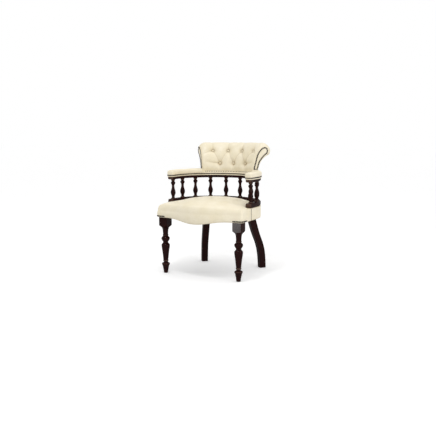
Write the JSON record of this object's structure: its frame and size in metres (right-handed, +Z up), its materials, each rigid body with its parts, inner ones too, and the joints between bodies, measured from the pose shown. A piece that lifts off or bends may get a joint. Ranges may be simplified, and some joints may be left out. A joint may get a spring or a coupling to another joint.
{
  "type": "captains chair",
  "caption": "Fixed armchair with a crowned leather seat, a horseshoe of turned spindles, padded arms and a buttoned, rolled back on turned front and sabre back legs.",
  "frame": {"origin": "on the floor under the middle of the chair's length and width", "axes": "+Z up, -Y the way the sitter faces, +X to the right as seen from the front"},
  "size_m": [0.615, 0.662, 0.8298],
  "materials": {
    "cream_leather": "smooth semi-gloss",
    "dark_mahogany": "polished gloss",
    "beech": "sawn, unfinished",
    "birch_ply": "sanded, unfinished",
    "pale_foam": "matte",
    "jute_strap": "matte weave",
    "black_cloth": "matte",
    "zinc_steel": "zinc plated",
    "antique_nail": "dark antique"
  },
  "bodies": {
    "root": {"front_leg_left": "dark_mahogany", "front_leg_right": "dark_mahogany", "back_leg_left": "dark_mahogany", "back_leg_right": "dark_mahogany", "seat_rail_front": "beech", "seat_rail_back": "beech", "seat_rail_left": "beech", "seat_rail_right": "beech", "corner_block_left": "beech", "corner_block_right": "beech", "front_leg_bolt_left": "zinc_steel", "front_leg_bolt_right": "zinc_steel", "back_leg_bolt_left": "zinc_steel", "back_leg_bolt_right": "zinc_steel", "rail_screw_left": "zinc_steel", "rail_screw_right": "zinc_steel", "webbing_long_1": "jute_strap", "webbing_long_2": "jute_strap", "webbing_long_3": "jute_strap", "webbing_cross_1": "jute_strap", "webbing_cross_2": "jute_strap", "seat_foam": "pale_foam", "seat_cover": "cream_leather", "seat_side_cover": "cream_leather", "seat_dust_cover": "black_cloth", "base_rail_left": "dark_mahogany", "base_rail_back": "dark_mahogany", "base_rail_right": "dark_mahogany", "spindle_01": "dark_mahogany", "spindle_02": "dark_mahogany", "spindle_03": "dark_mahogany", "spindle_04": "dark_mahogany", "spindle_05": "dark_mahogany", "spindle_06": "dark_mahogany", "spindle_07": "dark_mahogany", "spindle_08": "dark_mahogany", "spindle_09": "dark_mahogany", "spindle_10": "dark_mahogany", "arm_rail_left": "dark_mahogany", "arm_rail_back": "dark_mahogany", "arm_rail_right": "dark_mahogany", "arm_pad_left": "cream_leather", "arm_pad_right": "cream_leather", "back_ledge_pad": "cream_leather", "back_board": "birch_ply", "back_cushion": "cream_leather", "back_outer_cover": "cream_leather", "back_facing_left": "cream_leather", "back_facing_right": "cream_leather", "back_button_1": "cream_leather", "back_button_2": "cream_leather", "back_button_3": "cream_leather", "back_button_4": "cream_leather", "back_button_5": "cream_leather", "back_button_6": "cream_leather", "back_button_7": "cream_leather", "facing_nails_left": "antique_nail", "facing_nails_right": "antique_nail", "arm_nails": "antique_nail", "back_nails": "antique_nail"}
  },
  "joints": []
}
